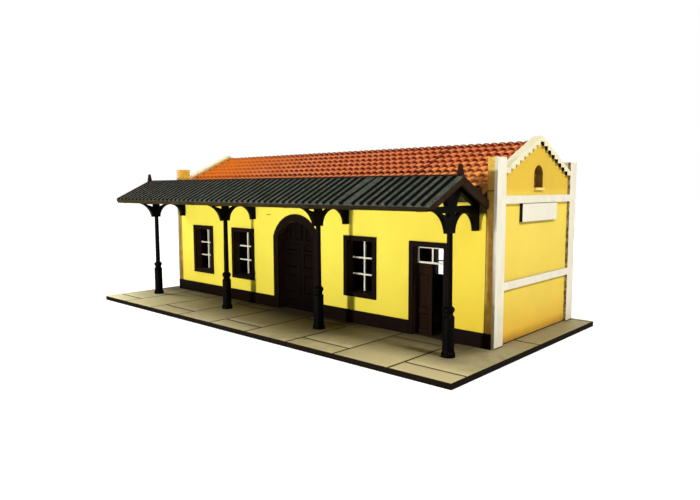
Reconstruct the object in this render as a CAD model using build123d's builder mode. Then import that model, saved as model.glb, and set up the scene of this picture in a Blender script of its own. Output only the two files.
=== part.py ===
from build123d import *
import os

# Model-railway station building, 1:87, a glued kit of laser-cut sheets on its own thin board.
# Millimetres, +Z up, +X along the platform front, -Y towards the platform.
# The origin is the middle of the house's plan, on the underside of the board.
# Levels whose names end in _h are measured from the top of the board; a _rise or _drop is
# measured up or down from the head of the walls.

# ---- driving dimensions -------------------------------------------------------------------
# house: length over the white gable sheets, depth over the walls
house_l = 190.0
house_d = 64.4
wall_t = 2.5
wall_h = 52.6

# base board: its margins round the house, the platform in front
board_left = 6.2
board_right = 8.2
board_back = 2.0
platform_d = 38.4
board_t = 2.0

# gable: white sheet, bands, sloped top with its stepped coping
roof_slope = 0.474
trim_t = 1.1
ear_d = 6.0
ear_rise = 11.1
slope_foot_rise = 7.4
upper_band_drop = 4.2
lower_band_h = 19.2
band_w = 2.7
coping_t = 0.9
coping_drop = 1.4
coping_steps = 8
attic_half_w = 3.6
attic_foot_rise = 1.2
attic_side_h = 5.1
attic_crown_rise = 3.0
attic_sill_t = 0.9
attic_sill_proud = 0.9
sign_w = 28.4
sign_h = 6.5
sign_t = 1.2

# windows and doors of the long walls, placed from the main door's axis
main_axis = -1.3
near_offset = 37.1
far_offset = 69.8
surround_w = 1.9
surround_t = 0.6
window_w = 16.9
window_foot_h = 10.6
window_head_drop = 17.6
side_door_head_drop = 18.0
side_transom_drop = 26.2
main_half_w = 14.45
main_spring_drop = 20.1
main_crown_drop = 10.0
main_transom_drop = 22.6
main_band_w = 3.3
lap = 1.2
frame_t = 1.0
frame_w = 0.4
transom_bar_w = 0.7
leaf_t = 1.2
leaf_gap = 0.2
plinth_h = 5.1
plinth_t = 0.8

# main roof
roof_t = 2.3
roof_seat = 0.05
eave_out = 3.2
roof_gap = 0.15
ridge_strip_w = 0.9
ridge_strip_t = 0.4

# canopy columns
column_inset = 7.1
column_count = 4
column_out = 16.6
column_drop = 13.1
foot_r = 2.3
pedestal_r = 1.9
neck_r = 1.45
ring_r = 1.9
shaft_foot_r = 1.1
shaft_top_r = 0.92
foot_h = 2.2
pedestal_h = 12.9
neck_taper_h = 0.7
neck_h = 14.2
ring_h = 16.4

# canopy truss plates
truss_t = 1.6
tie_foot_drop = 5.9
tie_top_drop = 4.6
rafter_h = 2.05
truss_eye_v = 2.5
truss_apex_v = 4.8
bracket_foot_v = 2.4
bracket_run = 8.6
arch_half_w = 6.1
arch_crown_drop = 6.9
pendant_w = 2.4
pendant_drop = 13.1
eye_foot_v = 1.6
eye_front_run = 4.1
eye_back_run = 3.2
eye_head_drop = 6.7
eye_h = 1.4
wall_gap = 0.1

# canopy sheets, ridge cap, fascia and barge boards
sheet_slope = 0.495
sheet_t = 0.7
sheet_gap = 0.4
eave_clear = 0.12
sheet_front_run = 17.6
sheet_left = 6.3
sheet_right = 4.3
barge_t = 1.0
barge_h = 2.2
barge_toe_h = 0.7
fascia_t = 0.8
fascia_h = 1.35
cap_w = 0.9
cap_t = 0.25
finial_w = 1.7
finial_top_w = 0.8
finial_h = 3.4

# ---- values worked out from them ----------------------------------------------------------
floor_z = board_t
half_l = house_l / 2
half_d = house_d / 2
trim_in = half_l - trim_t
gable_in = trim_in - wall_t
inner_half_d = half_d - wall_t
slope_run = half_d - ear_d
ear_h = wall_h + ear_rise
slope_foot_h = wall_h + slope_foot_rise
apex_h = slope_foot_h + slope_run * roof_slope
upper_band_h = wall_h - upper_band_drop
attic_foot_h = wall_h + attic_foot_rise
attic_spring_h = attic_foot_h + attic_side_h
attic_crown_h = attic_spring_h + attic_crown_rise
step_run = slope_run / (coping_steps + 0.5)
step_rise = step_run * roof_slope
window_head_h = wall_h - window_head_drop
side_door_head_h = wall_h - side_door_head_drop
side_transom_h = wall_h - side_transom_drop
main_spring_h = wall_h - main_spring_drop
main_crown_h = wall_h - main_crown_drop
main_transom_h = wall_h - main_transom_drop
column_x = half_l - column_inset
column_y = -half_d - column_out
column_pitch = 2 * column_x / (column_count - 1)
column_top_h = wall_h - column_drop
eave_foot_h = wall_h + roof_seat - roof_slope * eave_out
sheet_back_run = column_out - sheet_gap
sheet_ridge_h = eave_foot_h - eave_clear + sheet_slope * (column_out - eave_out)
sheet_eave_h = sheet_ridge_h - sheet_slope * sheet_front_run
sheet_rise = sheet_t * (1 + sheet_slope**2) ** 0.5
sheet_x = column_x + sheet_right
sheet_l = 2 * column_x + sheet_left + sheet_right
window_axes = [main_axis - far_offset, main_axis - near_offset, main_axis + near_offset]
side_axis = main_axis + far_offset
opening_half_w = window_w / 2 - surround_w


def elevation(y):
    """Upright plane facing the platform at y: local x is X, local y the height above the board."""
    return Plane(origin=(0, y, floor_z), x_dir=(1, 0, 0), z_dir=(0, -1, 0))


def section(x):
    """Upright plane facing +X at x: local x is Y, local y the height above the board."""
    return Plane(origin=(x, 0, floor_z), x_dir=(0, 1, 0), z_dir=(1, 0, 0))


def save(piece, name):
    """Label the piece and write it under that name."""
    piece.label = name
    export_step(piece, f"parts/{name}.step")


def arched(axis, half_w, foot, spring, crown):
    """Face with upright sides and a round head."""
    with BuildSketch() as outline:
        with BuildLine():
            Polyline(
                (axis - half_w, spring),
                (axis - half_w, foot),
                (axis + half_w, foot),
                (axis + half_w, spring),
            )
            ThreePointArc((axis + half_w, spring), (axis, crown), (axis - half_w, spring))
        make_face()
    return outline.sketch


def upright(axis, half_w, foot, head):
    """Plain rectangle between two heights."""
    with BuildSketch() as outline:
        with Locations((axis, (foot + head) / 2)):
            Rectangle(2 * half_w, head - foot)
    return outline.sketch


def main_arch(inset, foot=0.0):
    """The main door's arch, drawn in from the outside of its surround."""
    return arched(main_axis, main_half_w - inset, foot, main_spring_h, main_crown_h - inset)


def window_hole(axis, inset=0.0):
    """Clear opening of one window; a negative inset laps over its edge."""
    edge = surround_w + inset
    return upright(axis, window_w / 2 - edge, window_foot_h + edge, window_head_h - edge)


def side_hole(inset=0.0, foot=0.0):
    """Clear opening of the side door."""
    return upright(side_axis, opening_half_w - inset, foot, side_door_head_h - surround_w - inset)


def gable_half(half_base, seam_h, top_drop):
    """Right half of the gable's outline: foot, seam, ear, notch and slope up to the apex."""
    ear_in = half_d - ear_d
    return [
        (0, 0),
        (half_base, 0),
        (half_base, seam_h),
        (half_d, seam_h),
        (half_d, ear_h),
        (ear_in, ear_h),
        (ear_in, slope_foot_h - top_drop),
        (0, apex_h - top_drop),
    ]


def stair_points():
    """Lower edge of the coping from the pilaster up to the flat step under the apex."""
    points = []
    y = slope_run
    h = slope_foot_h - coping_drop
    for step in range(coping_steps):
        points.append((y, h))
        points.append((y - step_run, h))
        y -= step_run
        h += step_rise
    points.append((y, h))
    return points


os.makedirs("parts", exist_ok=True)

# ---- base board ---------------------------------------------------------------------------
with BuildPart() as base_board:
    with BuildSketch():
        with Locations(((board_right - board_left) / 2, (board_back - platform_d) / 2)):
            Rectangle(house_l + board_left + board_right, house_d + platform_d + board_back)
    extrude(amount=board_t)
save(base_board.part, "base_board")

# ---- long walls ---------------------------------------------------------------------------
with BuildPart() as front_wall:
    with BuildSketch(elevation(-half_d)):
        with Locations((0, wall_h / 2)):
            Rectangle(2 * trim_in, wall_h)
        for axis in window_axes:
            add(window_hole(axis), mode=Mode.SUBTRACT)
        add(main_arch(main_band_w), mode=Mode.SUBTRACT)
        add(side_hole(), mode=Mode.SUBTRACT)
    extrude(amount=-wall_t)
save(front_wall.part, "front_wall")

with BuildPart() as back_wall:
    mirror(front_wall.part, about=Plane.XZ)
save(back_wall.part, "back_wall")

with BuildPart() as front_plinth:
    with BuildSketch(elevation(-half_d)):
        with Locations((0, plinth_h / 2)):
            Rectangle(2 * trim_in, plinth_h)
        add(main_arch(0), mode=Mode.SUBTRACT)
        add(side_hole(-surround_w), mode=Mode.SUBTRACT)
    extrude(amount=plinth_t)
save(front_plinth.part, "front_plinth")

with BuildPart() as back_plinth:
    mirror(front_plinth.part, about=Plane.XZ)
save(back_plinth.part, "back_plinth")

# ---- surrounds on the face of the walls ---------------------------------------------------
with BuildPart() as front_window_surrounds:
    with BuildSketch(elevation(-half_d)):
        for axis in window_axes:
            add(window_hole(axis, -surround_w))
            add(window_hole(axis), mode=Mode.SUBTRACT)
    extrude(amount=surround_t)
save(front_window_surrounds.part, "front_window_surrounds")

with BuildPart() as main_door_surround:
    with BuildSketch(elevation(-half_d)):
        add(main_arch(0))
        add(main_arch(main_band_w), mode=Mode.SUBTRACT)
    extrude(amount=surround_t)
save(main_door_surround.part, "main_door_surround")

with BuildPart() as side_door_surround:
    with BuildSketch(elevation(-half_d)):
        add(side_hole(-surround_w))
        add(side_hole(), mode=Mode.SUBTRACT)
    extrude(amount=surround_t)
save(side_door_surround.part, "side_door_surround")

with BuildPart() as back_surrounds:
    mirror(front_window_surrounds.part, about=Plane.XZ)
    mirror(main_door_surround.part, about=Plane.XZ)
    mirror(side_door_surround.part, about=Plane.XZ)
save(back_surrounds.part, "back_surrounds")

# ---- window frames, glued behind the walls ------------------------------------------------
with BuildPart() as front_window_frames:
    with BuildSketch(elevation(-inner_half_d)):
        for axis in window_axes:
            add(window_hole(axis, -lap))
            add(window_hole(axis, frame_w), mode=Mode.SUBTRACT)
    extrude(amount=-frame_t)
save(front_window_frames.part, "front_window_frames")

with BuildPart() as back_window_frames:
    mirror(front_window_frames.part, about=Plane.XZ)
save(back_window_frames.part, "back_window_frames")

# ---- main door: two leaves and the fanlight over their rail -------------------------------
with BuildPart() as main_door_left_leaf:
    with BuildSketch(elevation(-inner_half_d)):
        add(main_arch(main_band_w - lap))
        with Locations((main_axis - leaf_gap / 2, 0)):
            Rectangle(house_l, 2 * main_transom_h, align=(Align.MAX, Align.CENTER), mode=Mode.INTERSECT)
    extrude(amount=-leaf_t)
save(main_door_left_leaf.part, "main_door_left_leaf")

with BuildPart() as main_door_right_leaf:
    mirror(main_door_left_leaf.part, about=Plane.YZ.offset(main_axis))
save(main_door_right_leaf.part, "main_door_right_leaf")

with BuildPart() as main_door_fanlight:
    with BuildSketch(elevation(-inner_half_d)):
        add(main_arch(main_band_w - lap, main_transom_h + leaf_gap))
    extrude(amount=-leaf_t)
save(main_door_fanlight.part, "main_door_fanlight")

# ---- side door: transom light, closed left leaf, right leaf standing open -----------------
with BuildPart() as side_door_transom:
    with BuildSketch(elevation(-inner_half_d)):
        add(side_hole(-lap, side_transom_h))
        half_pane = (opening_half_w - 1.5 * transom_bar_w) / 2
        pane_foot_h = side_transom_h + transom_bar_w
        pane_head_h = side_door_head_h - surround_w - transom_bar_w
        for side in (-1, 1):
            pane_axis = side_axis + side * (half_pane + transom_bar_w / 2)
            add(upright(pane_axis, half_pane, pane_foot_h, pane_head_h), mode=Mode.SUBTRACT)
    extrude(amount=-frame_t)
save(side_door_transom.part, "side_door_transom")

with BuildPart() as side_door_left_leaf:
    with BuildSketch(elevation(-inner_half_d)):
        with Locations((side_axis - leaf_gap / 2, 0)):
            leaf_h = side_transom_h - leaf_gap
            Rectangle(opening_half_w + lap, leaf_h, align=(Align.MAX, Align.MIN))
    extrude(amount=-leaf_t)
save(side_door_left_leaf.part, "side_door_left_leaf")

with BuildPart() as side_door_right_leaf:
    with BuildSketch(section(side_axis + opening_half_w)):
        with Locations((-inner_half_d, 0)):
            Rectangle(opening_half_w, side_transom_h - leaf_gap, align=(Align.MIN, Align.MIN))
    extrude(amount=leaf_t)
save(side_door_right_leaf.part, "side_door_right_leaf")

with BuildPart() as back_main_door:
    mirror(main_door_left_leaf.part, about=Plane.XZ)
    mirror(main_door_right_leaf.part, about=Plane.XZ)
    mirror(main_door_fanlight.part, about=Plane.XZ)
save(back_main_door.part, "back_main_door")

with BuildPart() as back_side_door:
    mirror(side_door_transom.part, about=Plane.XZ)
    mirror(side_door_left_leaf.part, about=Plane.XZ)
    with BuildSketch(elevation(inner_half_d)):
        with Locations((side_axis + leaf_gap / 2, 0)):
            Rectangle(opening_half_w + lap, side_transom_h - leaf_gap, align=(Align.MIN, Align.MIN))
    extrude(amount=leaf_t)
save(back_side_door.part, "back_side_door")

# ---- gables -------------------------------------------------------------------------------
with BuildPart() as right_gable_wall:
    with BuildSketch(section(trim_in)):
        with BuildLine():
            Polyline(*gable_half(inner_half_d, wall_h, coping_t))
            mirror(about=Plane.YZ)
        make_face()
        add(arched(0, attic_half_w, attic_foot_h, attic_spring_h, attic_crown_h), mode=Mode.SUBTRACT)
    extrude(amount=-wall_t)
save(right_gable_wall.part, "right_gable_wall")

with BuildPart() as right_gable_trim:
    with BuildSketch(section(trim_in)):
        for side in (-1, 1):
            with Locations((side * (half_d - ear_d / 2), ear_h / 2)):
                Rectangle(ear_d, ear_h)
        for band_h in (lower_band_h, upper_band_h):
            with Locations((0, band_h + band_w / 2)):
                Rectangle(2 * slope_run, band_w)
    extrude(amount=trim_t)
save(right_gable_trim.part, "right_gable_trim")

with BuildPart() as right_gable_coping:
    with BuildSketch(section(trim_in)):
        with BuildLine():
            Polyline((0, apex_h), (slope_run, slope_foot_h), *stair_points(), (0, stair_points()[-1][1]))
            mirror(about=Plane.YZ)
        make_face()
    extrude(amount=trim_t)
    with BuildSketch(section(trim_in)):
        with BuildLine():
            Polyline(
                (0, apex_h),
                (slope_run, slope_foot_h),
                (slope_run, slope_foot_h - coping_t),
                (0, apex_h - coping_t),
            )
            mirror(about=Plane.YZ)
        make_face()
    extrude(amount=-wall_t)
save(right_gable_coping.part, "right_gable_coping")

with BuildPart() as right_attic_shutter:
    with BuildSketch(section(gable_in)):
        add(arched(0, attic_half_w + lap, attic_foot_h - lap, attic_spring_h, attic_crown_h + lap))
    extrude(amount=-leaf_t)
save(right_attic_shutter.part, "right_attic_shutter")

with BuildPart() as right_attic_sill:
    with BuildSketch(section(trim_in)):
        with Locations((0, attic_foot_h - attic_sill_t / 2)):
            Rectangle(2 * attic_half_w, attic_sill_t)
    extrude(amount=attic_sill_proud)
save(right_attic_sill.part, "right_attic_sill")

with BuildPart() as right_gable_sign:
    with BuildSketch(section(trim_in)):
        with Locations((0, upper_band_h - sign_h / 2)):
            Rectangle(sign_w, sign_h)
    extrude(amount=sign_t)
save(right_gable_sign.part, "right_gable_sign")

for piece, name in (
    (right_gable_wall, "left_gable_wall"),
    (right_gable_trim, "left_gable_trim"),
    (right_gable_coping, "left_gable_coping"),
    (right_attic_shutter, "left_attic_shutter"),
    (right_attic_sill, "left_attic_sill"),
):
    with BuildPart() as left_piece:
        mirror(piece.part, about=Plane.YZ)
    save(left_piece.part, name)

# ---- main roof ----------------------------------------------------------------------------
roof_half_l = gable_in - roof_gap
roof_rise = roof_t * (1 + roof_slope**2) ** 0.5
roof_ridge_h = wall_h + roof_seat + roof_rise + roof_slope * half_d
roof_eave_y = half_d + eave_out
roof_eave_h = roof_ridge_h - roof_slope * roof_eave_y

with BuildPart() as main_roof_back:
    with BuildSketch(section(roof_half_l)):
        with BuildLine():
            Polyline(
                (0, roof_ridge_h),
                (roof_eave_y, roof_eave_h),
                (roof_eave_y, roof_eave_h - roof_rise),
                (0, roof_ridge_h - roof_rise),
                close=True,
            )
        make_face()
    extrude(amount=-2 * roof_half_l)
save(main_roof_back.part, "main_roof_back")

with BuildPart() as main_roof_front:
    mirror(main_roof_back.part, about=Plane.XZ)
save(main_roof_front.part, "main_roof_front")

with BuildPart() as main_roof_ridge:
    with BuildSketch(section(roof_half_l)):
        with BuildLine():
            Polyline(
                (0, roof_ridge_h),
                (ridge_strip_w, roof_ridge_h - ridge_strip_w * roof_slope),
                (ridge_strip_w, roof_ridge_h - ridge_strip_w * roof_slope + ridge_strip_t),
                (0, roof_ridge_h + ridge_strip_t),
            )
            mirror(about=Plane.YZ)
        make_face()
    extrude(amount=-2 * roof_half_l)
save(main_roof_ridge.part, "main_roof_ridge")

# ---- canopy columns, turned -----------------------------------------------------------------
# Half of the turned outline, as radius and height: foot with a hollow above it, pedestal, neck
# and a ring of three flats, then the shaft.
hollow_r = foot_r - pedestal_r
ring_swell = ring_r - neck_r
ring_mid_h = (neck_h + ring_h) / 2
ring_flat_h = (ring_h - neck_h) / 6
column_outline = [
    (0, 0),
    (foot_r, 0),
    (foot_r, foot_h / 2),
    (pedestal_r + hollow_r / 3, foot_h * 3 / 4),
    (pedestal_r, foot_h),
    (pedestal_r, pedestal_h),
    (neck_r, pedestal_h + neck_taper_h),
    (neck_r, neck_h),
    (ring_r, ring_mid_h - ring_flat_h),
    (ring_r, ring_mid_h + ring_flat_h),
    (shaft_foot_r + ring_swell / 3, ring_h),
    (shaft_foot_r, ring_h),
    (shaft_top_r, column_top_h),
    (0, column_top_h),
]

for index in range(column_count):
    place = Location((-column_x + index * column_pitch, column_y, floor_z))
    with BuildPart() as column:
        with BuildSketch(Plane.XZ):
            with BuildLine():
                Polyline(*column_outline, close=True)
            make_face()
        revolve(axis=Axis.Z)
    save(column.part.moved(place), f"canopy_column_{index + 1}")

# ---- canopy truss plates --------------------------------------------------------------------
# v runs from the column line towards the wall, h is the height above the board.
tie_foot_h = wall_h - tie_foot_drop
tie_top_h = wall_h - tie_top_drop
wall_v = column_out - wall_gap
eave_v = sheet_front_run - fascia_t
plate_ridge_h = sheet_ridge_h - sheet_rise
rafter_foot_v = (plate_ridge_h - rafter_h - tie_top_h) / sheet_slope
rafter_apex_h = plate_ridge_h - rafter_h - sheet_slope * truss_apex_v
eye_head_h = wall_h - eye_head_drop

arch_axis_v = wall_v - arch_half_w - pendant_w
arch_crown_h = wall_h - arch_crown_drop
arch_spring_h = arch_crown_h - arch_half_w
pendant_foot_h = wall_h - pendant_drop

# The bracket is an arc level with the tie's underside; its middle point is a little over halfway round.
bracket_fall = tie_foot_h - column_top_h
bracket_r = (bracket_run**2 + bracket_fall**2) / (2 * bracket_fall)
bracket_axis_v = bracket_foot_v + bracket_run
bracket_mid_run = 0.7 * bracket_r
bracket_mid_h = tie_foot_h - bracket_r + (bracket_r**2 - bracket_mid_run**2) ** 0.5


def plate_top(v):
    """Height of the plate's upper edge, under the sheets."""
    return plate_ridge_h - sheet_slope * abs(v)


for index in range(column_count):
    truss_x = -column_x + index * column_pitch + truss_t / 2
    frame_plane = Plane(origin=(truss_x, column_y, floor_z), x_dir=(0, 1, 0), z_dir=(1, 0, 0))
    with BuildPart() as truss:
        with BuildSketch(frame_plane):
            with BuildLine():
                Polyline(
                    (-bracket_axis_v, tie_foot_h),
                    (-eave_v, tie_foot_h),
                    (-eave_v, plate_top(eave_v)),
                    (0, plate_ridge_h),
                    (wall_v, plate_top(wall_v)),
                    (wall_v, pendant_foot_h),
                    (arch_axis_v + arch_half_w, pendant_foot_h),
                    (arch_axis_v + arch_half_w, arch_spring_h),
                )
                ThreePointArc(
                    (arch_axis_v + arch_half_w, arch_spring_h),
                    (arch_axis_v, arch_crown_h),
                    (arch_axis_v - arch_half_w, arch_spring_h),
                )
                Polyline(
                    (arch_axis_v - arch_half_w, arch_spring_h),
                    (arch_axis_v - arch_half_w, column_top_h),
                    (-bracket_foot_v, column_top_h),
                )
                ThreePointArc(
                    (-bracket_foot_v, column_top_h),
                    (-bracket_axis_v + bracket_mid_run, bracket_mid_h),
                    (-bracket_axis_v, tie_foot_h),
                )
            make_face()
            for side, eye_run in ((-1, eye_front_run), (1, eye_back_run)):
                with BuildLine():
                    Polyline(
                        (side * truss_eye_v, tie_top_h),
                        (side * rafter_foot_v, tie_top_h),
                        (side * truss_apex_v, rafter_apex_h),
                        close=True,
                    )
                make_face(mode=Mode.SUBTRACT)
                with BuildLine():
                    Polyline(
                        (side * eye_foot_v, eye_head_h - eye_h),
                        (side * (eye_foot_v + eye_run), eye_head_h),
                        (side * eye_foot_v, eye_head_h),
                        close=True,
                    )
                make_face(mode=Mode.SUBTRACT)
        extrude(amount=-truss_t)
    save(truss.part, f"canopy_truss_{index + 1}")

# ---- canopy sheets, then the fascia and barge boards under them, and the ridge cap ----------
sheet_plane = Plane(origin=(sheet_x, column_y, floor_z), x_dir=(0, 1, 0), z_dir=(1, 0, 0))


def sheet_outline(run, side):
    """Section of a sheet from the ridge down to its edge, on one side of the ridge."""
    fall = sheet_slope * run
    return [
        (0, sheet_ridge_h),
        (side * run, sheet_ridge_h - fall),
        (side * run, sheet_ridge_h - fall - sheet_rise),
        (0, sheet_ridge_h - sheet_rise),
    ]


with BuildPart() as canopy_back_sheet:
    with BuildSketch(sheet_plane):
        with BuildLine():
            Polyline(*sheet_outline(sheet_back_run, 1), close=True)
        make_face()
    extrude(amount=-sheet_l)
save(canopy_back_sheet.part, "canopy_back_sheet")

with BuildPart() as canopy_front_sheet:
    with BuildSketch(sheet_plane):
        with BuildLine():
            Polyline(*sheet_outline(sheet_front_run, -1), close=True)
        make_face()
    extrude(amount=-sheet_l)
save(canopy_front_sheet.part, "canopy_front_sheet")

with BuildPart() as canopy_fascia:
    with BuildSketch(sheet_plane.offset(-barge_t)):
        with Locations((-sheet_front_run, sheet_eave_h - sheet_rise)):
            Rectangle(fascia_t, fascia_h, align=(Align.MIN, Align.MAX))
    extrude(amount=-(sheet_l - 2 * barge_t))
save(canopy_fascia.part, "canopy_fascia")

toe_run = sheet_front_run - (barge_h - barge_toe_h) / sheet_slope
with BuildPart() as canopy_barge_boards:
    for inset in (0, sheet_l - barge_t):
        with BuildSketch(sheet_plane.offset(-inset)):
            with BuildLine():
                Polyline(
                    (0, plate_ridge_h),
                    (sheet_back_run, plate_top(sheet_back_run)),
                    (sheet_back_run, plate_top(sheet_back_run) - barge_h),
                    (0, plate_ridge_h - barge_h),
                    (-toe_run, plate_top(toe_run) - barge_h),
                    (-sheet_front_run, plate_top(sheet_front_run) - barge_toe_h),
                    (-sheet_front_run, plate_top(sheet_front_run)),
                    close=True,
                )
            make_face()
        extrude(amount=-barge_t)
save(canopy_barge_boards.part, "canopy_barge_boards")

with BuildPart() as canopy_ridge_cap:
    with BuildSketch(sheet_plane):
        with BuildLine():
            Polyline(
                (0, sheet_ridge_h),
                (cap_w, sheet_ridge_h - cap_w * sheet_slope),
                (cap_w, sheet_ridge_h - cap_w * sheet_slope + cap_t),
                (0, sheet_ridge_h + cap_t),
            )
            mirror(about=Plane.YZ)
        make_face()
    extrude(amount=-sheet_l)
    for finial_x in (sheet_x - finial_w / 2, sheet_x - sheet_l + finial_w / 2):
        with BuildSketch(Plane((finial_x, column_y, floor_z + sheet_ridge_h + cap_t / 2))):
            Rectangle(finial_w, finial_w)
        with BuildSketch(Plane((finial_x, column_y, floor_z + sheet_ridge_h + finial_h))):
            Rectangle(finial_top_w, finial_top_w)
        loft()
save(canopy_ridge_cap.part, "canopy_ridge_cap")
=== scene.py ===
"""Surfaces and finishes for a model-railway station building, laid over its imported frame."""

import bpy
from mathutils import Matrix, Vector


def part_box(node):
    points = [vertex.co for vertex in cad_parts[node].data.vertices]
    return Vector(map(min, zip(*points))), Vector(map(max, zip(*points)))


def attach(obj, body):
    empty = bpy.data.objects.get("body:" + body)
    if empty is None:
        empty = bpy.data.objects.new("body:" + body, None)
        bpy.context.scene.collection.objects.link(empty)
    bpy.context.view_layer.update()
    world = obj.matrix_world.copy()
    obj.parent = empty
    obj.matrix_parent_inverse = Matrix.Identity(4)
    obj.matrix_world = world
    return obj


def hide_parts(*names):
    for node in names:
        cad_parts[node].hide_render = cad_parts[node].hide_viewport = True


bl_info = {
    "name": "Station building",
    "version": (1, 0, 0),
    "blender": (4, 5, 0),
    "location": "3D View > Sidebar > Station",
    "description": "Tiles, corrugated sheet, joinery, paving and paint of a model station building",
    "category": "Add Mesh",
}

import math

import bpy
import numpy as np
from mathutils import Matrix, Vector

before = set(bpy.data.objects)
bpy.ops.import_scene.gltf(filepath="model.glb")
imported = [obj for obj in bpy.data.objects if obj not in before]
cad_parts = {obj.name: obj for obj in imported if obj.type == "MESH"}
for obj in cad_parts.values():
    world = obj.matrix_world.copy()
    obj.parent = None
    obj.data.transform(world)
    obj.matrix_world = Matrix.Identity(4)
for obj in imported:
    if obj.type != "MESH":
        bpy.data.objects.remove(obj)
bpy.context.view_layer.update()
MM = 0.001

# In millimetres: the first lip of the tiles, from the ridge; the middle line of one roll on the left and on
# the right tile sheet, and of one valley on either canopy sheet; the plain strip by the canopy's seam.
FIRST_LIP = 1.6
LEFT_ROLL, RIGHT_ROLL = 41.9, 62.2
LEFT_VALLEY, RIGHT_VALLEY = 53.25, 63.05
PLAIN_LEFT, PLAIN_RIGHT = 54.4, 62.0

# In millimetres: the middle of one column of slabs; the first joint along the platform, from the board's
# front; how deep the joints are scored; and the chamfer along the board's upper edges.
SLAB_MIDDLE = 0.15
FIRST_JOINT = 8.1
JOINT_DEPTH = 0.3
BOARD_RIM = 0.18

# Upright thickness of a sloping sheet over its own thickness: the root of one and the slope squared.
ROOF_UPRIGHT, CANOPY_UPRIGHT = 1.107, 1.116


# ---- meshes ------------------------------------------------------------------------------------

def box_mm(node):
    """Lowest and highest corner of a node, as two arrays in millimetres."""
    lo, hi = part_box(node)
    return np.array(lo) / MM, np.array(hi) / MM


def corners_mm(node):
    """Every corner of a node's mesh in millimetres."""
    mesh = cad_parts[node].data
    flat = np.empty(len(mesh.vertices) * 3, np.float32)
    mesh.vertices.foreach_get("co", flat)
    return flat.reshape(-1, 3).astype(float) / MM


def levels(node, axis):
    """The different places of a node's corners along one axis in millimetres, lowest first."""
    return np.unique(np.round(corners_mm(node)[:, axis], 2))


def grid(a, b):
    """Two arrays that hold, for every pair, its place from a and its place from b."""
    return np.meshgrid(a, b, indexing="ij")


def off_whole(value):
    """How far each value lies from the nearest whole number."""
    return value - np.round(value)


def behind(marks, count, rest=0.0):
    """Marks of a face, with the same value put on for each of the points behind it."""
    return np.pad(marks, ((0, 0), (0, count)), constant_values=rest)


def set_out(name, data):
    """New object in the scene."""
    made = bpy.data.objects.new(name, data)
    bpy.context.scene.collection.objects.link(made)
    return made


def ring_quads(rings, points):
    """Corner numbers of the quads between neighbouring rings of a tube, each ring closed on itself."""
    i, j = grid(np.arange(rings - 1), np.arange(points))
    k = (j + 1) % points
    quads = np.stack([i * points + j, (i + 1) * points + j, (i + 1) * points + k, i * points + k], -1)
    return quads.reshape(-1, 4)


def runs_outward(tube, quads):
    """Whether a tube's faces point outwards: the pyramids from its middle to them add up to more than nought.

    The middle is halfway between the two ends' own middles."""
    centred = tube.reshape(-1, 3) - (tube[0].mean(0) + tube[-1].mean(0)) / 2
    corners = centred[quads]
    one = np.cross(corners[:, 1], corners[:, 2]) * corners[:, 0]
    two = np.cross(corners[:, 2], corners[:, 3]) * corners[:, 0]
    ends = 0.0
    for ring, sign in ((centred[: tube.shape[1]], -1), (centred[-tube.shape[1] :], 1)):
        ends += sign * (np.cross(ring[1:-1], ring[2:]) @ ring[0]).sum()
    return one.sum() + two.sum() + ends > 0


def solid(name, tubes, paint, tones=None, crease=35, replaces=()):
    """Closed piece from tubes, each an array (rings, points, 3) in millimetres with a face at either end.

    tones gives, by name, the values that the points carry for their paint. Edges that turn by more than the
    crease angle stay sharp."""
    points, quads, ends, start = [], [], [], 0
    for tube in tubes:
        rings, around = tube.shape[:2]
        made = ring_quads(rings, around)
        first, last = np.arange(around)[::-1], (rings - 1) * around + np.arange(around)
        if not runs_outward(tube, made):
            made, first, last = made[:, ::-1], first[::-1], last[::-1]
        points.append(tube.reshape(-1, 3))
        quads.append(made + start)
        ends += [(first + start).tolist(), (last + start).tolist()]
        start += rings * around
    mesh = bpy.data.meshes.new(name)
    mesh.from_pydata((np.concatenate(points) * MM).tolist(), [], np.concatenate(quads).tolist() + ends)
    for label, values in (tones or {}).items():
        layer = mesh.attributes.new(label, "FLOAT", "POINT")
        layer.data.foreach_set("value", np.asarray(values, np.float32).ravel())
    mesh.polygons.foreach_set("use_smooth", np.ones(len(mesh.polygons), bool))
    mesh.set_sharp_from_angle(angle=math.radians(crease))
    mesh.materials.append(paint)
    mesh.update()
    piece = set_out(name, mesh)
    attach(piece, "root")
    if replaces:
        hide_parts(*replaces)


def stations(lo, hi, step, extra=()):
    """Even stations from lo to hi no further apart than step, with the extra ones put in."""
    even = np.linspace(lo, hi, int(math.ceil((hi - lo) / step)) + 1)
    kept = [value for value in extra if lo < value < hi]
    return np.unique(np.round(np.concatenate([even, kept]), 4))


def groove(distance, half_width):
    """One on the middle line of a groove, falling evenly to nought at its edges."""
    return np.clip(1 - np.abs(distance) / half_width, 0, 1)


# ---- shaders -----------------------------------------------------------------------------------

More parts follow.
